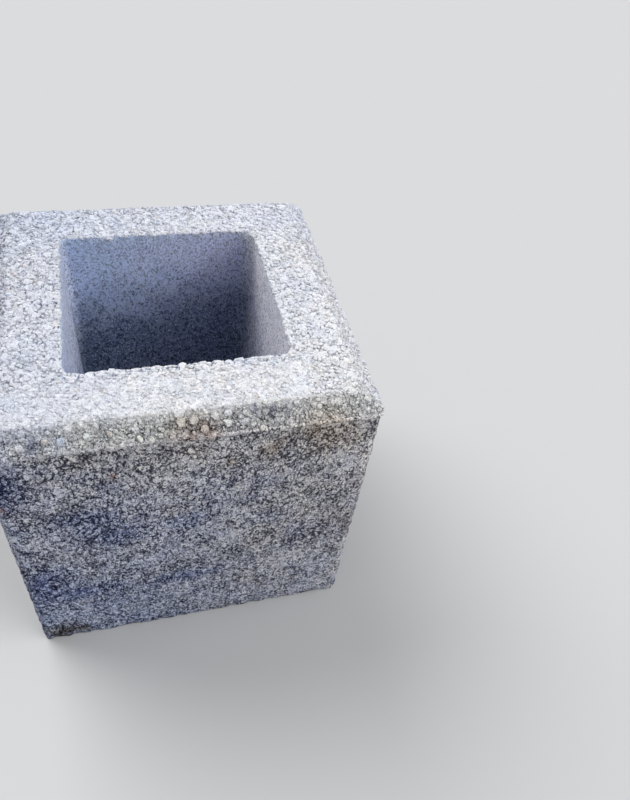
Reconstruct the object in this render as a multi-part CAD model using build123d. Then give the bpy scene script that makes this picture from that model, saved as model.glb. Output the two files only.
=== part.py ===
"""Square hollow block of cast concrete for building up a pier, stood as it was cast, in millimetres."""
from build123d import *
import os

# Whole block, measured over the lip. X runs across the front, Y to the back and Z up.
block_width = 300
block_depth = 300
block_height = 300
edge_radius = 7  # upright outer edges

# Sloping rim that the press head left all round the top face.
rim_inset = 17
rim_drop = 13
rim_corner_radius = 10  # corners of the top face, worn rounder than the mitres below them

# Thin lip where the press head met the mould, at the foot of the rim.
lip_proud = 1
lip_height = 3

# Hollow core, open at both ends. Its sizes are at the top face, and it narrows by the draft on
# each side going down. The core had worn corners, no two pairs alike.
core_width = 176
core_depth = 170
core_draft = 1.5
front_left_radius = 10
front_right_radius = 10
back_right_radius = 18
back_left_radius = 5
mouth_radius = 1.5  # broken edge round the top of the core

# Shallow marks across the left and right walls, where the bar that held the core crossed the mould.
bar_mark_width = 12
bar_mark_depth = 1

rim_foot = block_height - rim_drop
clearance = 10  # how far a cutting shape runs past the face that it cuts


def rounded_block(width, depth, radius, bottom, top):
    """Upright rectangular block with its four upright edges rounded."""
    outline = Plane.XY.offset(bottom) * RectangleRounded(width, depth, radius)
    return extrude(outline, amount=top - bottom)


def core_outline(height, inset):
    """Outline of the core at one height, each side moved in by the inset and each corner with its own radius."""
    half_x, half_y = core_width / 2 - inset, core_depth / 2 - inset
    corners = [
        ((-half_x, -half_y), front_left_radius),
        ((half_x, -half_y), front_right_radius),
        ((half_x, half_y), back_right_radius),
        ((-half_x, half_y), back_left_radius),
    ]
    outline = make_face(Polyline(*[point for point, _ in corners], close=True))
    for point, radius in corners:
        vertex = outline.vertices().sort_by_distance((*point, 0))[0]
        outline = fillet(vertex, radius)
    return Plane.XY.offset(height) * outline


def bar_mark(side):
    """Strip across one wall, top face and rim alike, as deep all the way; side is -1 for left and 1 for right."""
    slope = rim_drop / rim_inset
    outer = block_width / 2 + clearance
    section = Polyline(
        (side * (core_width / 2 - clearance), block_height - bar_mark_depth),
        (side * (block_width / 2 - rim_inset), block_height - bar_mark_depth),
        (side * outer, block_height - bar_mark_depth - slope * (outer - block_width / 2 + rim_inset)),
        (side * outer, block_height + clearance),
        (side * (core_width / 2 - clearance), block_height + clearance),
        close=True,
    )
    return extrude(Plane.XZ * make_face(section), amount=bar_mark_width / 2, both=True)


body = rounded_block(
    block_width - 2 * lip_proud, block_depth - 2 * lip_proud, edge_radius, 0, rim_foot
)
lip = rounded_block(
    block_width, block_depth, edge_radius + lip_proud, rim_foot - lip_height, rim_foot
)
rim_outlines = [
    Plane.XY.offset(rim_foot) * RectangleRounded(block_width, block_depth, edge_radius + lip_proud),
    Plane.XY.offset(block_height)
    * RectangleRounded(block_width - 2 * rim_inset, block_depth - 2 * rim_inset, rim_corner_radius),
]
rim = loft(rim_outlines, ruled=True)
core = loft([core_outline(0, core_draft), core_outline(block_height, 0)], ruled=True)

block = body + lip + rim - core
top_face = block.faces().sort_by(Axis.Z)[-1]
block = fillet(top_face.inner_wires()[0].edges(), mouth_radius)
block = block - bar_mark(-1) - bar_mark(1)
pier_block = block.solid()
pier_block.label = "pier_block"

os.makedirs("parts", exist_ok=True)
export_step(pier_block, "parts/pier_block.step")
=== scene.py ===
import bpy
import numpy as np
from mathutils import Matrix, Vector


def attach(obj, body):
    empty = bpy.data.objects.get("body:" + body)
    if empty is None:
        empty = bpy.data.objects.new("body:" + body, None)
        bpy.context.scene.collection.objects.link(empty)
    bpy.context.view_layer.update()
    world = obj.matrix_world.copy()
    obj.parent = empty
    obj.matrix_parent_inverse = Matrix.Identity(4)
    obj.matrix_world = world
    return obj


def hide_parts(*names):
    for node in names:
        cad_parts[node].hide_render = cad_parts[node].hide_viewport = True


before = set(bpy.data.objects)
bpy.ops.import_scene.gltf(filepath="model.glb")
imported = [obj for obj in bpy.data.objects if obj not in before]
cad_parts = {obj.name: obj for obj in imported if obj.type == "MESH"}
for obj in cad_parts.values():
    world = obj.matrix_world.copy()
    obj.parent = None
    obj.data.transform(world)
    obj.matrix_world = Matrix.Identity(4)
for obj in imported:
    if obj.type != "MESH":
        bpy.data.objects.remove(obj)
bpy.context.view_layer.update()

# The block. One piece of dry-cast concrete: crushed stone barely wetted with cement, rammed into
# a square mould round a core and turned out at once. The mould and the core leave fairly close
# faces, and the press head leaves an open one on top, with a sloping rim round it. Millimetres.
block_half = 150
block_height = 300
edge_radius = 7
rim_inset = 17
rim_drop = 13
rim_corner_radius = 10
lip_proud = 1
lip_height = 3
core_half_x, core_half_y = 88, 85
core_draft = 1.5
core_radii = np.array([10.0, 10.0, 18.0, 5.0])  # front left, front right, back right, back left
worn_left, worn_back = 1.6, 2.5  # how far the core's mouth is worn wider on two sides
worn_share_left, worn_share_back = 0.018, 0.03  # the same as shares of the core's half sides
mouth_radius = 1.5
mouth_bend = 0.44  # how far the middle of the mouth's rounding is from its wall and from the top
foot_bevel = 1.5
rim_foot = block_height - rim_drop
wall_half = block_half - lip_proud
columns_each_side = 154
corner_share = 0.035  # how much of a side's columns each of its ends gives to the corner

# Cross-section of the wall, from the foot of the core wall up, over the top and the rim, down the
# outside and back under: rows to the next line, share of the way out from the core's outline to
# the block's, inset of the core's outline, half side and corner radius of the block's, height.
cross_section = np.array([
    (8, 0, core_draft, wall_half, edge_radius, foot_bevel),
    (22, 0, core_draft / 2, wall_half, edge_radius, block_height / 2),
    (2, 0, 0, wall_half, edge_radius, block_height - mouth_radius),
    (2, 0, -mouth_bend, wall_half, edge_radius, block_height - mouth_bend),
    (30, 0, -mouth_radius, block_half - rim_inset, rim_corner_radius, block_height),
    (14, 1, -mouth_radius, block_half - rim_inset, rim_corner_radius, block_height),
    (2, 1, 0, block_half, edge_radius + lip_proud, rim_foot),
    (1, 1, 0, block_half, edge_radius + lip_proud, rim_foot - lip_height),
    (6, 1, 0, wall_half, edge_radius, rim_foot - lip_height),
    (64, 1, 0, wall_half, edge_radius, rim_foot - lip_height - 10),
    (2, 1, 0, wall_half, edge_radius, foot_bevel),
    (5, 1, 0, wall_half - foot_bevel, edge_radius - foot_bevel, 0),
    (2, 0, core_draft - foot_bevel, wall_half - foot_bevel, edge_radius - foot_bevel, 0),
    (0, 0, core_draft, wall_half, edge_radius, foot_bevel),
])
line_row = np.concatenate([[0], np.cumsum(cross_section[:-1, 0])])
row_count = int(line_row[-1])
mouth_row, rim_row, lip_row, foot_row = line_row[[4, 5, 6, 10]]


def outline(run, half_x, half_y, radii):
    """Rounded rectangle, anticlockwise from above: point = centre + radius * (cos a, sin a). run
    goes 0 to 4, one for each side, from the middle of the front left corner. Along a side the
    centre and the radius slide from one corner's to the next with the angle held square to it,
    and over each end of the side the angle turns 45 degrees to the corner's middle."""
    signs = np.array([(-1, -1), (1, -1), (1, 1), (-1, 1)])
    side, along = np.floor(run).astype(int) % 4, (run % 1)[..., None]
    radii = np.broadcast_to(radii, run.shape + (4,))
    first = np.take_along_axis(radii, side[..., None], -1)
    last = np.take_along_axis(radii, (side[..., None] + 1) % 4, -1)
    half = np.stack(np.broadcast_arrays(half_x, half_y, run)[:2], -1)
    slide = np.clip((along - corner_share) / (1 - 2 * corner_share), 0, 1)
    centre = signs[side] * (half - first) * (1 - slide)
    centre = centre + signs[(side + 1) % 4] * (half - last) * slide
    radius = first * (1 - slide) + last * slide
    turn = np.clip(along / corner_share - 1, -1, 0)
    turn = turn + np.clip((along - 1) / corner_share + 1, 0, 1)
    angle = np.radians(-90 + 90 * side[..., None] + 45 * turn)
    return centre + radius * np.concatenate([np.cos(angle), np.sin(angle)], -1)


def mould_face(run, row):
    """The block's face before any roughness. Each row of the cross-section gives the core's
    outline, the block's outline and a share: point = core * (1 - share) + block * share. The core
    is worn wider on the left and at the back: core = core * (1 + worn * height / block height)."""
    share, inset, half, radius, height = [
        np.interp(row % row_count, line_row, cross_section[:, k]) for k in range(1, 6)
    ]
    core = outline(run, core_half_x - inset, core_half_y - inset, core_radii - inset[..., None])
    worn = np.where(core > 0, (0, worn_share_back), (worn_share_left, 0))
    core = core * (1 + worn * height[..., None] / block_height)
    block = outline(run, half, half, np.repeat(radius[..., None], 4, -1))
    flat = core * (1 - share[..., None]) + block * share[..., None]
    return np.concatenate([flat, height[..., None]], -1)


def face_frame(run, row):
    """Direction round the block, direction across and outward normal at points of the face, from
    the difference between neighbouring points: normal = across x round, made one long."""
    bit_of_side, bit_of_row = 0.004, 0.3
    around = mould_face(run + bit_of_side, row) - mould_face(run - bit_of_side, row)
    across = mould_face(run, row + bit_of_row) - mould_face(run, row - bit_of_row)
    around /= np.linalg.norm(around, axis=-1, keepdims=True)
    normal = np.cross(across, around)
    normal /= np.linalg.norm(normal, axis=-1, keepdims=True)
    return around, np.cross(normal, around), normal


def grain(points, size, seed):
    """Packed grains: space is cut into cubes of one size with one seed point thrown in each, and a
    point belongs to its nearest seed. Gives how much farther off the second nearest seed is, which
    is 0 on the border of a grain, and the grain's own random number. The cubes repeat every 48."""
    table = np.random.default_rng(seed).random((48, 48, 48, 4))
    place = points / size
    cube = np.floor(place).astype(int)
    nearest = np.full(points.shape[:-1], 9.0)
    second, number = nearest.copy(), nearest.copy()
    for step in np.ndindex(3, 3, 3):
        there = cube + np.array(step) - 1
        thrown = table[tuple(np.moveaxis(there % 48, -1, 0))]
        far = np.linalg.norm(there + thrown[..., :3] - place, axis=-1)
        closer = far < nearest
        second = np.where(closer, nearest, np.minimum(second, far))
        number = np.where(closer, thrown[..., 3], number)
        nearest = np.minimum(nearest, far)
    return (second - nearest) * size, number


def swell(points, size, seed):
    """Smooth noise from -1 to 1, its bumps about one size across: random numbers at the corners of
    a lattice, which repeats every 32, blended in between with weights 3t^2 - 2t^3 along each
    direction."""
    table = np.random.default_rng(seed).uniform(-1, 1, (32, 32, 32))
    place = points / size
    cube = np.floor(place).astype(int)
    part = place - cube
    part = part * part * (3 - 2 * part)
    total = 0
    for step in np.ndindex(2, 2, 2):
        weight = np.prod(np.where(np.array(step) == 1, part, 1 - part), -1)
        total = total + weight * table[tuple(np.moveaxis((cube + np.array(step)) % 32, -1, 0))]
    return total


def closed_mesh(name, points, corners, smooth):
    """Mesh from points in millimetres and rows of corner numbers, put in as whole arrays."""
    mesh = bpy.data.meshes.new(name)
    sides = corners.shape[1]
    mesh.vertices.add(len(points))
    mesh.vertices.foreach_set("co", (points * 0.001).astype(np.float32).ravel())
    mesh.loops.add(corners.size)
    mesh.loops.foreach_set("vertex_index", corners.astype(np.int32).ravel())
    mesh.polygons.add(len(corners))
    mesh.polygons.foreach_set("loop_start", np.arange(0, corners.size, sides, dtype=np.int32))
    mesh.update(calc_edges=True)
    mesh.polygons.foreach_set("use_smooth", np.full(len(corners), smooth))
    piece = bpy.data.objects.new(name, mesh)
    bpy.context.scene.collection.objects.link(piece)
    return piece


def say(piece, name, values):
    """Keeps one number for each vertex of a piece, for its material."""
    kept = piece.data.attributes.new(name, "FLOAT", "POINT")
    kept.data.foreach_set("value", values.astype(np.float32).ravel())


column_count = 4 * columns_each_side
run, row = np.meshgrid(
    np.arange(column_count) * 4 / column_count, np.arange(row_count), indexing="ij"
)
face = mould_face(run, row)
normal = face_frame(run, row)[2]

# Where the press head's faces and the core's are, each fading over two or three rows.
pressed = np.clip((row - mouth_row + 3) / 3, 0, 1) * np.clip(lip_row + 1 - row, 0, 1)
cored = np.clip((mouth_row - row) / 3, 0, 1) + np.clip((row - foot_row - 7) / 2, 0, 1)

# Roughness, outwards along the normal. The open faces are a bed of grains for the bare stones to
# stand in, less deep on the strip in front of the core, where paste closed over them. The mould's
# faces are flush, with pits where a grain fell out, and the core's are nearly smooth.
bed_grain, groove = 4.8, 1.6  # width of a grain and of the groove between two
bed_depth, less_deep = 1.85, 0.75  # below the stones' tops, and how much less on the strip
wander = np.stack([swell(face, 3, seed) for seed in (1, 2, 3)], -1)
border, number = grain(face + 1.2 * wander, bed_grain, 4)
packed = np.clip(border / groove, 0, 1)
x, y, z = np.moveaxis(face, -1, 0)
smooth_part = np.clip((-y - 92) / 8, 0, 1) * np.clip((105 - x) / 20, 0, 1)
smooth_part = smooth_part * np.clip((rim_row - row) / 3 + 1, 0, 1)
open_relief = packed * (0.2 + 0.6 * number) - bed_depth + less_deep * smooth_part
open_relief = open_relief + 0.4 * swell(face, 9, 5)
close_relief = -0.3 * (1 - packed) * (number > 0.5) + 0.25 * swell(face, 14, 6) - 0.1
core_relief = 0.15 * swell(face, 6, 7) + 0.25 * swell(face, 40, 8)
relief = close_relief * (1 - cored) + core_relief * cored
relief = open_relief * pressed + relief * (1 - pressed)

# The lip is a ragged fin of paste that squeezed out between the press head and the mould.
on_lip = np.clip(1 - np.abs(row - lip_row - 0.5) / 2, 0, 1)
ragged = np.clip(1.6 * swell(face, 13, 9) + 3.4 * swell(face, 7, 10), -1.8, 1.4)
relief = relief * (1 - on_lip) + on_lip * ragged

# Where the bar that held the core crossed the mould, the fill stayed looser: a short ragged dip
# on the left wall, and only a trace of one on the right.
bar_dip, bar_spread = 2.6, 3.2  # depth in the middle and half width
middle = np.where(x < 0, 1 + 2.5 * swell(face, 7, 12), 1.5 * swell(face, 7, 12))
reach = np.where(x < 0, np.clip((x + 112) / 9, 0.15, 1), 0.15)
dip = np.exp(-(((y - middle) / bar_spread) ** 2)) * reach * pressed
relief = relief - bar_dip * (dip * (np.abs(x) > core_half_x - 4))

# The arris round the mouth of the core crumbled in bites of about 5 mm.
on_arris = np.exp(-(((row - mouth_row + 2) / 2.5) ** 2))
relief = relief - on_arris * np.clip(0.4 + 2.6 * swell(face, 5, 11), -1.0, 2.8)

# So did the upright edges and the foot of the block, less deep.
below_lip = row > lip_row
out_x, out_y = np.abs(x), np.abs(y)
near_edge = np.clip((np.minimum(out_x, out_y) - wall_half + 9) / 7, 0, 1) * below_lip
near_foot = np.clip((7 - z) / 6, 0, 1) * below_lip * (np.maximum(out_x, out_y) > wall_half - 4)
bites = np.clip(0.2 + 1.8 * swell(face, 6, 15), -0.4, 1.6)
relief = relief - np.maximum(near_edge, near_foot) * bites
face = face + normal * relief[..., None]

# Wear rounds off the two front corners at the foot: a point past the rounding's centre is drawn
# in to it until it is no farther off than the radius, which fades out towards the back.
foot_wear_right, foot_wear_left, foot_wear_reach = 13, 8, 25
for side, radius in ((1, foot_wear_right), (-1, foot_wear_left)):
    radius = radius * np.clip(1 - (face[..., 1] + wall_half) / foot_wear_reach, 0, 1)
    past_x, past_z = side * face[..., 0] - wall_half + radius, radius - face[..., 2]
    far = np.hypot(past_x, past_z)
    outside = (past_x > 0) & (past_z > 0) & (far > radius)
    drawn = np.where(outside, radius / np.maximum(far, 0.01), 1)
    face[..., 0] += side * past_x * (drawn - 1) * (drawn < 1)
    face[..., 2] -= past_z * (drawn - 1) * (drawn < 1)
face[..., 2] = np.maximum(face[..., 2], 0)

number_of = np.arange(column_count)[:, None] * row_count + np.arange(row_count)[None, :]
next_column, next_row = np.roll(number_of, -1, 0), np.roll(number_of, -1, 1)
corners = np.stack([number_of, next_row, np.roll(next_column, -1, 1), next_column], -1)
block = closed_mesh("cast_block", face.reshape(-1, 3), corners.reshape(-1, 4), True)

# On the core, cored rises from 1 at the mouth to 2 lower down, for the coarser look there.
say(block, "cored", cored * (1 + np.clip((292 - face[..., 2]) / 120, 0, 1)))


def linear(colour):
    """sRGB hex to the linear colour that nodes take: ((c + 0.055) / 1.055) ^ 2.4, or c / 12.92
    near black."""
    parts = np.array([int(colour[k : k + 2], 16) / 255 for k in (1, 3, 5)])
    return (*np.where(parts > 0.04045, ((parts + 0.055) / 1.055) ** 2.4, parts / 12.92), 1.0)


def weathering_and_shade(points):
    """Tint and shade of each place, the tint as linear shares of red, green and
    blue. Damp slate blue fades from lower left to upper right on the front, lies thin on top and
    in patches elsewhere: tint = 1 - damp * (1 - slate). In the core the blue is partly dampness
    and partly painted shade, the blue of shade, less on its right wall and on its left wall, where
    light falls. Warm and cool patches lie over it: tint = tint * (1 + warm * (1, 0.2, -1.2)). The
    core's back wall is darker below a wavy line, partly from water and partly painted shade deeper
    in the core: tint = tint * (1 - wet * (1 - soaked)), and its left wall is painted lighter
    further down, painted light. The front is painted lighter towards its lower right, painted
    light.
    Blots, each x, height, half width, half height and amount, darken or lighten the front: shade =
    shade + amount * exp(-(sideways / half width)^2 - (upwards / half height)^2). Lichen, rust and
    earth tint the front rim and the face under it in spots, each x, height and radius: tint =
    tint * (1 - spot * (1 - colour)), where spot = exp(-(distance / radius)^2)."""
    x, y, z = np.moveaxis(points, -1, 0)
    slate, core_slate, core_mauve, soaked_and_shaded, blot_blue = [
        np.array(linear(colour)[:3])
        for colour in ("#cbdaf9", "#cee1ff", "#d4ddff", "#9198a0", "#dae3fc")
    ]
    front = np.clip((-y - 125) / 15, 0, 1)
    on_top = np.clip((z - 286) / 3, 0, 1)
    in_core = (np.abs(x) < core_half_x + 3) & (np.abs(y) < core_half_y + 3.5) & (z < 299)
    patch = swell(points, 55, 21) + 0.6 * swell(points, 21, 22)
    fleck = swell(points, 8, 25)

    top_damp = 0.26 - 0.0006 * (x - y) + 0.1 * patch + 0.12 * fleck
    damp_and_shade_blue = (0.35 + 0.2 * patch) * (1 - on_top) + top_damp * on_top
    low_left = 0.47 - 0.0021 * x - 0.0023 * (z - 150) - 0.05 * np.clip((z - 285) / 3, 0, 1)
    damp_and_shade_blue = np.where(front > 0.5, low_left + 0.15 * patch + 0.15 * fleck, damp_and_shade_blue)
    # In the core the blue is partly dampness and partly painted shade, the blue of shade, less on
    # the right wall and on the left wall, where light falls.
    warm_wall, lit_left_wall = np.clip((x - 74) / 12, 0, 1), np.clip((-x - 81) / 5, 0, 1)
    core_damp_and_shade = 0.93 - 0.0008 * x - 0.78 * warm_wall - 0.30 * lit_left_wall + 0.15 * patch
    damp_and_shade_blue = np.where(in_core, core_damp_and_shade, damp_and_shade_blue)
    mauve = np.clip(0.4 + x / 130 + 0.4 * swell(points, 30, 28), 0, 1)[..., None]
    core_slate = core_slate * (1 - mauve) + core_mauve * mauve
    slate = np.where(in_core[..., None], core_slate, slate)
    tint = 1 - np.clip(damp_and_shade_blue, 0, 1.2)[..., None] * (1 - slate)
    tint[..., 1] *= 0.965 + 0.025 * on_top
    warm = (1 - on_top) * (0.03 * swell(points, 18, 34) + 0.02 * swell(points, 7, 35)) * ~in_core
    tint = tint * (1 + warm[..., None] * np.array([1.0, 0.2, -1.2]))

    # Below a wavy line the core's back wall is darker: partly from water and partly painted shade
    # deeper in the core.
    wet_and_shaded = (262 + 0.25 * x - z + 16 * swell(points, 24, 23) + 7 * swell(points, 9, 24)) / 65
    wet_and_shaded = np.clip(wet_and_shaded, 0, 1) * np.clip((np.abs(y) - 68) / 12, 0, 1) * in_core
    tint = tint * (1 - wet_and_shaded[..., None] * (1 - soaked_and_shaded))
    # Painted light: the core's left wall is painted lighter further down.
    painted_light_low = 0.10 + 0.22 * np.clip((262 - z) / 60, 0, 1)
    tint = tint * (1 + painted_light_low * lit_left_wall * in_core)[..., None]

    # Painted light: the front is painted lighter towards its lower right.
    painted_light_low_right = np.clip((x + 60) / 160, 0, 1) * np.clip((120 - z) / 90, 0, 1)
    shade = 0.022 * patch + 0.02 * fleck + 0.0004 * x * on_top * (1 - front)
    shade = shade + 0.06 * front * painted_light_low_right
    for at_x, at_z, wide, high, amount in (
        (-142, 255, 16, 30, -0.10), (-88, 200, 26, 12, -0.09), (-68, 172, 24, 16, -0.10),
        (-5, 178, 22, 10, -0.06), (-132, 105, 16, 26, -0.10), (-98, 84, 26, 10, -0.10),
        (-15, 84, 34, 8, -0.08), (78, 266, 22, 14, -0.06), (102, 122, 26, 14, -0.12),
        (140, 135, 10, 14, -0.08), (50, 198, 14, 10, -0.04), (-128, 178, 18, 12, 0.08),
        (-18, 240, 16, 12, 0.06), (130, 235, 18, 22, 0.10), (38, 142, 26, 12, 0.08),
        (-42, 122, 16, 10, 0.08), (85, 84, 22, 12, 0.08), (-110, 40, 22, 10, 0.06),
        (5, 289, 16, 7, -0.10), (15, 291, 60, 9, -0.05),
    ):
        share = front * np.exp(-(((x - at_x) / wide) ** 2) - ((z - at_z) / high) ** 2)
        shade = shade + amount * share
        if amount < 0 and at_x < 60 and at_z < 280:  # a dark blot on the left is blue as well
            tint = tint * (1 + 10 * amount * share[..., None] * (1 - blot_blue))

    for colour, spots in (
        ("#fcfcf8", (  # a film of lichen
            (-112, 293, 14), (-70, 292, 18), (-20, 291, 22), (60, 294, 12), (105, 290, 20),
        )),
        ("#f1e7da", (  # brown stains
            (28, 250, 5), (112, 268, 16), (95, 278, 12), (60, 262, 10), (-136, 23, 9),
        )),
        ("#faf3ed", (  # a film of rust
            (1, 290, 9), (-14, 287, 8), (14, 288, 7), (108, 287, 5),
        )),
        ("#f5ece6", ((-3, 288, 4), (6, 291, 3), (10, 287, 3))),  # the middle of it
        ("#b3b8ce", (  # blue-black stones
            (-112, 291.5, 4), (47, 297, 3), (59, 294.5, 4), (70, 295, 3),
        )),
        ("#e7ad95", ((-61, 252, 2.5), (-143, 226, 3))),  # specks of rust
        ("#958676", ((-134, 8, 11), (-122, 14, 11), (-112, 12, 7))),  # dark earth at the foot
    ):
        for at_x, at_z, radius in spots:
            aside = x - at_x + 0.5 * radius * swell(points, 5, 26)
            above = z - at_z + 0.5 * radius * swell(points, 5, 27)
            spot = front * np.exp(-((np.hypot(aside, above) / radius) ** 2))
            tint = tint * (1 - spot[..., None] * (1 - np.array(linear(colour)[:3])))
    return tint, shade


def dye(piece, name, colours):
    """Keeps a colour for each vertex of a piece, for its material."""
    rows = np.concatenate([colours, np.ones(colours.shape[:-1] + (1,))], -1)
    kept = piece.data.attributes.new(name, "FLOAT_COLOR", "POINT")
    kept.data.foreach_set("color", rows.astype(np.float32).ravel())


def dust_and_painted_light(points, deep):
    """How pale a pressed face is: full on top, where the press head's pale dusting lies and the
    top is partly painted light, 0.29 on the front rim, where rain carried the dusting off and
    painted shade stands for the slope turned from the light, uneven in patches, and less by 0.28
    for each millimetre that a point is deeper than 0.5, painted shade in the gaps between stones:
    dust = 1 - 0.71 * washed + patches - 0.28 * (depth - 0.5)."""
    washed_and_shaded = np.clip((-points[..., 1] - (block_half - rim_inset)) / 6, 0, 1)
    thin_and_shaded = 0.28 * np.clip(deep + 0.5, -1.8, 0)
    return np.clip(1 - 0.71 * washed_and_shaded + 0.06 * swell(points, 9, 31) + thin_and_shaded, 0, 1)


# Bare paste shows pale in beads under the lip and is gone in notches along it. The chips' look
# is full on the open faces, but less on the front rim, where the bed shows between the stones.
front_rim_y = rim_inset - block_half - 1
tint, shade = weathering_and_shade(face)
dye(block, "tint", tint)
say(block, "shade", shade)
beads = np.clip(0.7 + 2.6 * swell(face, 4, 32) - (rim_foot - 1 - face[..., 2]) / 5, 0, 1)
beads = beads * (row > lip_row) * (row < lip_row + 7)
notches = np.clip(-0.3 - 2.5 * swell(face, 4.5, 33), 0, 1)
notches = notches * np.clip(1 - np.abs(row - lip_row) / 2.5, 0, 1)
# Pale with dust and partly painted light on the pressed faces, darker in painted shade on the
# front rim and deeper in the gaps, and pale in beads under the lip.
say(block, "dusty_and_lit", np.maximum(pressed * dust_and_painted_light(face, relief) * (1 - notches), 0.7 * beads))
say(block, "chip", pressed * np.where(face[..., 1] < front_rim_y, 0.3, 1) * (1 - notches))
say(block, "chip_tone", 0.25 * number - 0.1)


def add(tree, kind, inputs, ramp=None, **settings):
    """Adds one node with its settings. An input is a value or another node's output, and a ramp is
    its stops and their colours."""
    made = tree.nodes.new(kind)
    for name, value in settings.items():
        setattr(made, name, value)
    for name, value in inputs.items():
        if isinstance(value, bpy.types.NodeSocket):
            tree.links.new(value, made.inputs[name])
        else:
            made.inputs[name].default_value = value
    if ramp:
        while len(made.color_ramp.elements) < len(ramp):
            made.color_ramp.elements.new(1)
        for stop, (place, colour) in zip(made.color_ramp.elements, ramp):
            stop.position, stop.color = place, linear(colour)
    return made


# Dry-cast concrete of crushed limestone: matte angular grains from chalk white to slate under a
# film of cement, with pits between them that no paste filled, painted dark as painted shade. The
# mould cut them off flush, the press head left them open and dusted pale, and the core smeared
# them with fine paste.
concrete = bpy.data.materials.new("dry_cast_concrete")
concrete.use_nodes = True
tree = concrete.node_tree
shader = tree.nodes["Principled BSDF"]
stone_width, grain_width, grit_width, sand_width = 3.7, 2.4, 1.1, 0.95
pit_width, knob_width, cluster_width, wander_width = 2.0, 1.8, 13, 1.6

# Places in millimetres, with the pattern a third taller than wide, because the mould was drawn
# up off the face, and bent by up to a millimetre, so that no edge of a stone is straight.
place = add(tree, "ShaderNodeTexCoord", {}).outputs["Object"]
place = add(
    tree, "ShaderNodeVectorMath", {0: place, 1: (1000, 1000, 750)}, operation="MULTIPLY"
).outputs[0]
wander = add(
    tree, "ShaderNodeTexNoise", {"Vector": place, "Scale": 1 / wander_width, "Detail": 2.0}
).outputs["Color"]
wander = add(
    tree, "ShaderNodeVectorMath", {0: wander, 1: (0.5, 0.5, 0.5)}, operation="SUBTRACT"
).outputs[0]
bent = add(
    tree, "ShaderNodeVectorMath", {0: wander, 1: (2.0, 2.0, 2.0), 2: place},
    operation="MULTIPLY_ADD",
).outputs[0]

# Stones of about 4 mm, a few of them bare and pale, grains of 2 to 3 mm, and finer grit. Their
# tones add up: mixed = 0.24 * stones + 0.30 * grains + 2 * grit - 0.70.
stones = add(
    tree, "ShaderNodeTexVoronoi", {"Vector": bent, "Scale": 1 / stone_width}
).outputs["Color"]
stones, bare = add(tree, "ShaderNodeSeparateColor", {0: stones}).outputs[:2]
bare = add(
    tree, "ShaderNodeMapRange", {"Value": bare, "From Min": 0.85, "From Max": 0.87}
).outputs[0]
grains = add(
    tree, "ShaderNodeTexVoronoi", {"Vector": bent, "Scale": 1 / grain_width}
).outputs["Color"]
grains = add(tree, "ShaderNodeSeparateColor", {0: grains}).outputs[0]
grit = add(
    tree, "ShaderNodeTexNoise",
    {"Vector": place, "Scale": 1 / grit_width, "Detail": 2.0, "Roughness": 0.7},
).outputs["Fac"]
mixed = add(
    tree, "ShaderNodeMath", {0: stones, 1: 0.24, 2: -0.70}, operation="MULTIPLY_ADD"
).outputs[0]
mixed = add(
    tree, "ShaderNodeMath", {0: grains, 1: 0.30, 2: mixed}, operation="MULTIPLY_ADD"
).outputs[0]
mixed = add(
    tree, "ShaderNodeMath", {0: grit, 1: 2.0, 2: mixed}, operation="MULTIPLY_ADD"
).outputs[0]

# Pits of 1 to 2 mm where a noise runs low, and broken cracks round the stones where it runs low
# near their borders, both painted dark as painted shade in the hollows: more of both where the
# face is shaded dark or a wider noise runs low as well, fewer under dust, in the core and on bare
# stones. pit is 0 in a pit and 1 outside.
chip = add(tree, "ShaderNodeAttribute", {}, attribute_name="chip").outputs["Fac"]
cored = add(tree, "ShaderNodeAttribute", {}, attribute_name="cored").outputs["Fac"]
shade = add(tree, "ShaderNodeAttribute", {}, attribute_name="shade").outputs["Fac"]
dusty_and_lit = add(tree, "ShaderNodeAttribute", {}, attribute_name="dusty_and_lit").outputs["Fac"]
cluster = add(
    tree, "ShaderNodeTexNoise", {"Vector": place, "Scale": 1 / cluster_width, "Detail": 2.0}
).outputs["Fac"]
hollow = add(
    tree, "ShaderNodeTexNoise",
    {"Vector": bent, "Scale": 1 / pit_width, "Detail": 2.0, "Roughness": 0.75},
).outputs["Fac"]
hollow = add(tree, "ShaderNodeMath", {0: hollow, 1: -0.110}, operation="ADD").outputs[0]
for more, weight in (
    (cluster, 0.23), (shade, 0.4), (dusty_and_lit, 0.2), (cored, 0.3), (bare, 0.10), (chip, 0.3)
):
    hollow = add(
        tree, "ShaderNodeMath", {0: more, 1: weight, 2: hollow}, operation="MULTIPLY_ADD"
    ).outputs[0]
pit = add(
    tree, "ShaderNodeMapRange", {"Value": hollow, "From Min": 0.38, "From Max": 0.41}
).outputs[0]
border = add(
    tree, "ShaderNodeTexVoronoi", {"Vector": bent, "Scale": 1 / stone_width},
    feature="DISTANCE_TO_EDGE",
).outputs["Distance"]
crack = add(
    tree, "ShaderNodeMath", {0: hollow, 1: 1.5, 2: border}, operation="MULTIPLY_ADD"
).outputs[0]
crack = add(
    tree, "ShaderNodeMapRange", {"Value": crack, "From Min": 0.70, "From Max": 0.88}
).outputs[0]
pit = add(tree, "ShaderNodeMath", {0: pit, 1: crack}, operation="MULTIPLY").outputs[0]

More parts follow.
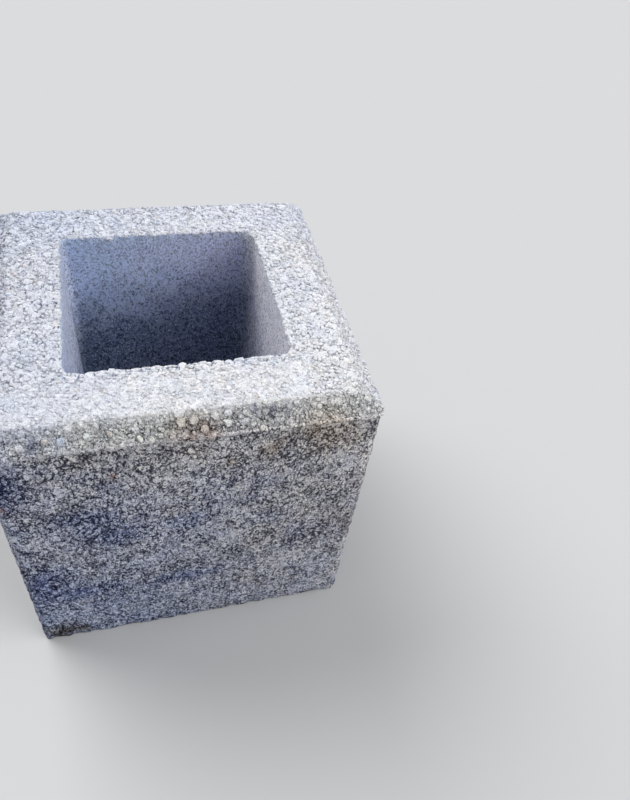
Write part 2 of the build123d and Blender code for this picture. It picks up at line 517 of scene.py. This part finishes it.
# A chip that stands out has a tone of its own, with grit and knobs of cement over it.
knobs = add(
    tree, "ShaderNodeTexNoise",
    {"Vector": place, "Scale": 1 / knob_width, "Detail": 2.0, "Roughness": 0.8},
).outputs["Fac"]
chip_tone = add(tree, "ShaderNodeAttribute", {}, attribute_name="chip_tone").outputs["Fac"]
chip_tone = add(
    tree, "ShaderNodeMath", {0: grit, 1: 1.1, 2: chip_tone}, operation="MULTIPLY_ADD"
).outputs[0]
chip_tone = add(
    tree, "ShaderNodeMath", {0: knobs, 1: 1.4, 2: chip_tone}, operation="MULTIPLY_ADD"
).outputs[0]
chip_tone = add(
    tree, "ShaderNodeMath", {0: chip_tone, 1: 0.78}, operation="SUBTRACT"
).outputs[0]
tone = add(tree, "ShaderNodeMix", {0: chip, 2: mixed, 3: chip_tone}).outputs[0]
tone = add(tree, "ShaderNodeMath", {0: tone, 1: shade}, operation="ADD").outputs[0]
side_colour = add(tree, "ShaderNodeValToRGB", {0: tone}, ramp=[
    (0.16, "#5e6065"), (0.34, "#939497"), (0.50, "#bdbebf"), (0.66, "#dadad9"), (0.82, "#fbfaf6"),
]).outputs[0]
top_colour = add(tree, "ShaderNodeValToRGB", {0: tone}, ramp=[
    (0.05, "#9c9ea4"), (0.30, "#d0d2d5"), (0.50, "#e7e7e6"), (0.85, "#ffffff"),
]).outputs[0]

# The core's film of paste shows only its sand, of about 1 mm, with a painted glint on a grain here
# and there, more of them deeper down, and deeper down coarser grains.
sand = add(
    tree, "ShaderNodeTexVoronoi", {"Vector": place, "Scale": 1 / sand_width}
).outputs["Color"]
sand, painted_glint = add(tree, "ShaderNodeSeparateColor", {0: sand}).outputs[:2]
painted_glint = add(
    tree, "ShaderNodeMapRange",
    {"Value": painted_glint, "From Min": 0.84, "From Max": 0.88, "To Max": 0.42},
).outputs[0]
painted_glint = add(tree, "ShaderNodeMath", {0: painted_glint, 1: cored}, operation="MULTIPLY").outputs[0]
sand = add(tree, "ShaderNodeMath", {0: sand, 1: 1.1}, operation="MULTIPLY").outputs[0]
coarse = add(
    tree, "ShaderNodeMath", {0: knobs, 1: 3.0, 2: grains}, operation="MULTIPLY_ADD"
).outputs[0]
coarse = add(tree, "ShaderNodeMath", {0: coarse, 1: 2.0}, operation="SUBTRACT").outputs[0]
below = add(
    tree, "ShaderNodeMath", {0: cored, 1: 1.0}, operation="SUBTRACT", use_clamp=True
).outputs[0]
coarse = add(tree, "ShaderNodeMath", {0: coarse, 1: below}, operation="MULTIPLY").outputs[0]
sand = add(
    tree, "ShaderNodeMath", {0: coarse, 1: 1.6, 2: sand}, operation="MULTIPLY_ADD"
).outputs[0]
core_colour = add(tree, "ShaderNodeValToRGB", {0: sand}, ramp=[
    (0.0, "#939497"), (0.5, "#e6e7e8"), (1.0, "#ffffff"),
]).outputs[0]
# The pressed faces take the paler ramp, pale with dust and partly painted light from above, less
# of it in painted shade on the front rim and in the gaps.
colour = add(
    tree, "ShaderNodeMix", {0: dusty_and_lit, 6: side_colour, 7: top_colour}, data_type="RGBA"
).outputs[2]
colour = add(
    tree, "ShaderNodeMix", {0: cored, 6: colour, 7: core_colour}, data_type="RGBA"
).outputs[2]

# The tint, of damp and, in the core, partly of painted shade, shows most in dark grains and least
# in pale ones, and evenly on paste and dust: colour = ramp * tint ^ exponent.
tint = add(tree, "ShaderNodeAttribute", {}, attribute_name="tint").outputs["Color"]
exponent = add(
    tree, "ShaderNodeMapRange",
    {"Value": tone, "From Min": 0.25, "From Max": 0.80, "To Min": 1.7, "To Max": 0.6},
).outputs[0]
plain = add(
    tree, "ShaderNodeMath", {0: cored, 1: dusty_and_lit}, operation="ADD", use_clamp=True
).outputs[0]
exponent = add(tree, "ShaderNodeMix", {0: plain, 2: exponent, 3: 1.0}).outputs[0]
taken = add(tree, "ShaderNodeGamma", {"Color": tint, "Gamma": exponent}).outputs[0]
colour = add(
    tree, "ShaderNodeMix", {0: 1.0, 6: colour, 7: taken}, data_type="RGBA", blend_type="MULTIPLY"
).outputs[2]

# A pit is painted dark, painted shade in the hollow, and takes the tint twice over. The painted
# glints go on last, as pale as a wet grain.
pit_shade = add(
    tree, "ShaderNodeMix", {0: 1.0, 6: tint, 7: tint}, data_type="RGBA", blend_type="MULTIPLY"
).outputs[2]
pit_shade = add(
    tree, "ShaderNodeMix", {0: 1.0, 6: pit_shade, 7: linear("#606169")},
    data_type="RGBA", blend_type="MULTIPLY",
).outputs[2]
pit_shade = add(
    tree, "ShaderNodeMix", {0: pit, 6: pit_shade, 7: linear("#ffffff")}, data_type="RGBA"
).outputs[2]
colour = add(
    tree, "ShaderNodeMix", {0: 1.0, 6: colour, 7: pit_shade}, data_type="RGBA", blend_type="MULTIPLY"
).outputs[2]
colour = add(
    tree, "ShaderNodeMix", {0: painted_glint, 6: colour, 7: linear("#b6c0d6")}, data_type="RGBA"
).outputs[2]
tree.links.new(colour, shader.inputs["Base Color"])
shader.inputs["Roughness"].default_value = 0.95
shader.inputs["Specular IOR Level"].default_value = 0.25

# The bump: grains, pits between them and, on chips, knobs of cement, 1.5 mm from low to high.
height = add(
    tree, "ShaderNodeMath", {0: mixed, 1: 0.43, 2: pit}, operation="MULTIPLY_ADD"
).outputs[0]
knobs = add(tree, "ShaderNodeMath", {0: knobs, 1: chip}, operation="MULTIPLY").outputs[0]
height = add(
    tree, "ShaderNodeMath", {0: knobs, 1: 0.6, 2: height}, operation="MULTIPLY_ADD"
).outputs[0]
bump = add(tree, "ShaderNodeBump", {"Height": height, "Strength": 0.9, "Distance": 0.0015})
tree.links.new(bump.outputs["Normal"], shader.inputs["Normal"])
block.data.materials.append(concrete)
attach(block, "root")
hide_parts("pier_block")

# The crushed stone that stands out of the top face and the rim. Sharp limestone chips of 2 to
# 9 mm that the press head left half bare, each stuck to its neighbours by a film of cement.
ball = (1 + 5**0.5) / 2
chip_points = np.array([
    (-1, ball, 0), (1, ball, 0), (-1, -ball, 0), (1, -ball, 0), (0, -1, ball), (0, 1, ball),
    (0, -1, -ball), (0, 1, -ball), (ball, 0, -1), (ball, 0, 1), (-ball, 0, -1), (-ball, 0, 1),
]) / np.hypot(1, ball)
chip_faces = np.array([
    (0, 11, 5), (0, 5, 1), (0, 1, 7), (0, 7, 10), (0, 10, 11),
    (1, 5, 9), (5, 11, 4), (11, 10, 2), (10, 7, 6), (7, 1, 8),
    (3, 9, 4), (3, 4, 2), (3, 2, 6), (3, 6, 8), (3, 8, 9),
    (4, 9, 5), (2, 4, 11), (6, 2, 10), (8, 6, 7), (9, 8, 1),
])


def rows_of_places(first, last, spacing, pitch, rng):
    """Places in staggered rows across the face, about a pitch apart round the block, each moved at
    random by up to a third of the pitch. run is read back from the length along the row."""
    stray = 0.36
    runs, rows = [], []
    fine = np.linspace(0, 4, 2001)
    for k, row in enumerate(np.arange(first, last, spacing)):
        points = mould_face(fine, np.full_like(fine, row))
        steps = np.linalg.norm(np.diff(points, axis=0), axis=1)
        length = np.concatenate([[0], np.cumsum(steps)])
        count = int(round(length[-1] / pitch))
        along = (np.arange(count) + 0.5 * (k % 2) + rng.uniform(-stray, stray, count)) % count
        runs.append(np.interp(along / count * length[-1], length, fine))
        rows.append(row + rng.uniform(-stray, stray, count) * spacing)
    return np.concatenate(runs), np.concatenate(rows)


def pressed_flat(points, slack):
    """Points put back under the press head's flat and slopes and inside the mould, and out of the
    core, each as far as its slack allows: point = point - max(0, point . normal - far - slack) *
    normal for each face, and past the core's wall along whichever side is nearer, but for the
    little that a stone may show there."""
    may_show = 1.3
    slope = np.array([rim_drop, rim_inset]) / np.hypot(rim_drop, rim_inset)
    faces = [((0, 0, 1), (0, 0, block_height))]
    for x, y in ((1, 0), (-1, 0), (0, 1), (0, -1)):
        far = block_half - rim_inset
        faces.append(((slope[0] * x, slope[0] * y, slope[1]), (far * x, far * y, block_height)))
        faces.append(((x, y, 0), (block_half * x, block_half * y, 0)))
    for normal, corner in faces:
        over = np.maximum((points - corner) @ np.array(normal) - slack, 0)
        points = points - over[..., None] * np.array(normal)
    worn = np.where(points[..., :2] > 0, (0, worn_back), (worn_left, 0))
    deep = np.array([core_half_x, core_half_y]) + worn - may_show - np.abs(points[..., :2])
    inside = (deep.min(-1) > 0)[..., None] & (deep == deep.min(-1, keepdims=True))
    points[..., :2] += np.sign(points[..., :2]) * np.where(inside, deep, 0)
    return points


def chips(run, row, size, sink, level, rng):
    """Crushed stones at places of the face, and how high each of their points is over the face: a
    ball of 12 points, each drawn in or out at random, stretched three ways, turned at random and
    sunk. The press head cuts each one off at its own level, on a plane that leans a little:
    height = min(height, level + lean * place)."""
    count = len(run)
    points = chip_points * rng.uniform(0.75, 1.2, (count, 12, 1))
    stretch = [rng.uniform(*span, count) for span in ((0.85, 1.25), (0.7, 1.05), (0.55, 0.85))]
    points = points * np.stack(stretch, -1)[:, None]
    turn = np.linalg.qr(rng.normal(size=(count, 3, 3)))[0]
    turn *= np.sign(np.linalg.det(turn))[:, None, None]
    points = np.einsum("nij,nkj->nki", turn, points) * size[:, None, None] / 2
    around, across, normal = face_frame(run, row)
    lean = rng.normal(0, 0.25, (count, 2))
    level = level[:, None] + np.einsum("nk,nik->ni", lean, points[..., :2])
    deep = np.minimum(points[..., 2] - sink[:, None], level)
    placed = mould_face(run, row)[:, None] + points[..., :1] * around[:, None]
    placed = placed + points[..., 1:2] * across[:, None] + deep[..., None] * normal[:, None]
    return pressed_flat(placed, level), deep


def stones_on(
    name, first, last, spacing, pitch, middle_size, spread, largest, tones, seed, known=()
):
    """One piece of chips strewn over a band of the face from the first row to the last, with
    log-normal sizes: size = middle size * e^(spread * normal). One in 30 has a tint of its own.
    Known stones of the front rim, each x, height, size, tone and tint, take the place of any
    strewn one near them."""
    rng = np.random.default_rng(seed)
    run, row = rows_of_places(first, last, spacing, pitch, rng)
    size = rng.lognormal(np.log(middle_size), spread, len(run))
    size = np.clip(size, 0.5 * middle_size, largest)
    tone, level = rng.uniform(*tones, len(run)), rng.uniform(-0.6, 0.9, len(run))
    cream, blue, pink, plain = "#f9f3ea", "#f1f7ff", "#fcf5f1", "#ffffff"
    tints = np.array([linear(colour)[:3] for colour in (cream, blue, pink, plain)])
    own = tints[np.minimum(rng.integers(0, 90, len(run)), 3)]
    if known:
        *columns, colours = zip(*known)
        at_x, at_z, known_size, known_tone = np.array(columns)
        known_own = [linear(colour)[:3] for colour in colours]
        known_row = rim_row + (block_height - at_z) / rim_drop * (lip_row - rim_row)
        fine = np.linspace(0, 1, 501)
        known_run = [
            np.interp(x, mould_face(fine, np.full_like(fine, r))[:, 0], fine)
            for x, r in zip(at_x, known_row)
        ]
        place = mould_face(np.array(known_run), known_row)
        apart = np.linalg.norm(mould_face(run, row)[:, None] - place, axis=-1)
        keep = (apart > (known_size + size[:, None]) / 2.2).all(1)
        run, row = np.append(run[keep], known_run), np.append(row[keep], known_row)
        size, tone = np.append(size[keep], known_size), np.append(tone[keep], known_tone)
        own = np.concatenate([own[keep], known_own])
        level = np.append(level[keep], np.full(len(known), 0.9))
    strewn = np.arange(len(size)) < len(size) - len(known)
    sink = np.where(strewn, 0.22, 0.1) * size + rng.uniform(-0.3, 0.5, len(size))
    points, deep = chips(run, row, size, sink, level, rng)
    corners = (chip_faces[None] + 12 * np.arange(len(run))[:, None, None]).reshape(-1, 3)
    piece = closed_mesh(name, points.reshape(-1, 3), corners, False)
    centre = mould_face(run, row)
    tint, shade = weathering_and_shade(centre)
    dye(piece, "tint", np.repeat(tint * own, 12, 0))
    say(piece, "shade", np.repeat(shade, 12))
    say(piece, "chip", np.repeat(np.where(centre[:, 1] < front_rim_y, 0.7, 1), 12))
    say(piece, "chip_tone", np.repeat(tone, 12))
    # Paler with dust and painted light, less in painted shade on the front rim and down the chips'
    # sides.
    say(piece, "dusty_and_lit", dust_and_painted_light(centre[:, None], deep))
    piece.data.materials.append(concrete)
    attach(piece, "root")


stones_on(
    "top_stones", first=mouth_row - 0.5, last=rim_row + 0.2, spacing=2.2, pitch=3.4,
    middle_size=4.5, spread=0.42, largest=9, tones=(0.0, 0.35), seed=11,
)

# The larger stones of the front rim that stand out one by one, at their places, and on its right
# half a line of pale beads, 2 to 4 mm across, along the lip.
front_stones = (
    (-93, 292.1, 9.2, 0.216, "#e6f1ff"), (-103, 292.7, 5.8, 0.22, "#fff6ef"),
    (-87, 297.3, 6.9, 0.24, "#ffffff"), (-75, 293, 8.0, 0.265, "#f8fcff"),
    (-39, 289.3, 5.8, 0.24, "#fffefa"), (-31, 288.5, 6.9, 0.32, "#fffef8"),
    (-10, 298.8, 9.2, 0.295, "#f9fcff"), (-9, 294.5, 9.2, 0.36, "#fffdf6"),
    (1, 294.5, 8.0, 0.32, "#fffdf8"), (8, 290.5, 6.9, 0.29, "#fffefc"),
    (16, 296, 6.9, 0.26, "#ffffff"), (25, 292, 8.0, 0.32, "#ffffff"),
    (26, 296.3, 9.2, 0.30, "#f5f8ff"), (38, 291.7, 6.9, 0.165, "#fbfbff"),
    (51, 288, 5.8, 0.34, "#fffdf7"), (96, 291, 5.8, 0.30, "#ffffff"),
)
bead_rng = np.random.default_rng(13)
bead_line = tuple(
    (
        at_x + bead_rng.uniform(-1, 1), 286.6 + bead_rng.uniform(-0.4, 0.5),
        bead_rng.uniform(2.2, 3.6), bead_rng.uniform(0.2, 0.5), "#fffdf8",
    )
    for at_x in np.arange(12, 148, 3.2)
)
stones_on(
    "rim_stones", first=rim_row + 0.5, last=lip_row + 1.2, spacing=1.9, pitch=2.9,
    middle_size=3.3, spread=0.5, largest=7.5, tones=(-0.1, 0.25), seed=12,
    known=front_stones + bead_line,
)

# The floor. A plain pale studio sheet, pale to the camera and mid grey to the light that it
# throws back, as dull ground does. Metres.
sheet_half = 9
floor_mesh = bpy.data.meshes.new("floor")
floor_mesh.from_pydata(
    [
        (-sheet_half, -sheet_half, 0), (sheet_half, -sheet_half, 0),
        (sheet_half, sheet_half, 0), (-sheet_half, sheet_half, 0),
    ],
    [],
    [(0, 1, 2, 3)],
)
floor = bpy.data.objects.new("floor", floor_mesh)
bpy.context.scene.collection.objects.link(floor)
sheet = bpy.data.materials.new("paper_sheet")
sheet.use_nodes = True
tree = sheet.node_tree
shader = tree.nodes["Principled BSDF"]
seen = add(tree, "ShaderNodeLightPath", {}).outputs["Is Camera Ray"]
colour = add(
    tree, "ShaderNodeMix", {0: seen, 6: linear("#b4b4b4"), 7: linear("#c8c8c8")},
    data_type="RGBA",
).outputs[2]
tree.links.new(colour, shader.inputs["Base Color"])
shader.inputs["Roughness"].default_value = 1.0
shader.inputs["Specular IOR Level"].default_value = 0.0
floor_mesh.materials.append(sheet)

# The light. A wide soft lamp above and behind, another low on the right, and an even pale room
# all round. At strength 1 a white face square to a lamp renders white.
for name, towards, strength, width in (
    ("lamp_above", (-0.40, 0.55, 0.73), 0.72, 45),
    ("lamp_right", (0.70, -0.35, 0.62), 0.55, 60),
):
    lamp = bpy.data.objects.new(name, bpy.data.lights.new(name, "SUN"))
    lamp.data.angle = np.radians(width)
    lamp.data.energy = strength * np.pi
    lamp.rotation_euler = Vector(towards).to_track_quat("Z", "Y").to_euler()
    bpy.context.scene.collection.objects.link(lamp)
world = bpy.data.worlds.new("room")
world.use_nodes = True
tree = world.node_tree
seen = add(tree, "ShaderNodeLightPath", {}).outputs["Is Camera Ray"]
glow = add(
    tree, "ShaderNodeMix", {0: seen, 6: linear("#a2a4a7"), 7: linear("#c6c6c6")},
    data_type="RGBA",
).outputs[2]
tree.links.new(glow, tree.nodes["Background"].inputs["Color"])
bpy.context.scene.world = world

# The camera, where the photograph was taken from. Its place, turn and focal length were found by
# fitting the block's edges to it.
focal_pixels, longer_side_pixels, sensor_width = 692.4, 800, 36
camera = bpy.data.objects.new("camera", bpy.data.cameras.new("camera"))
camera.data.sensor_width = sensor_width
camera.data.lens = focal_pixels * sensor_width / longer_side_pixels
camera.location = (-0.04055, -0.47231, 0.68522)
camera.rotation_euler = np.radians((42.632, -6.702, -14.472))
bpy.context.scene.collection.objects.link(camera)
bpy.context.scene.camera = camera
bpy.context.scene.view_settings.view_transform = "Standard"
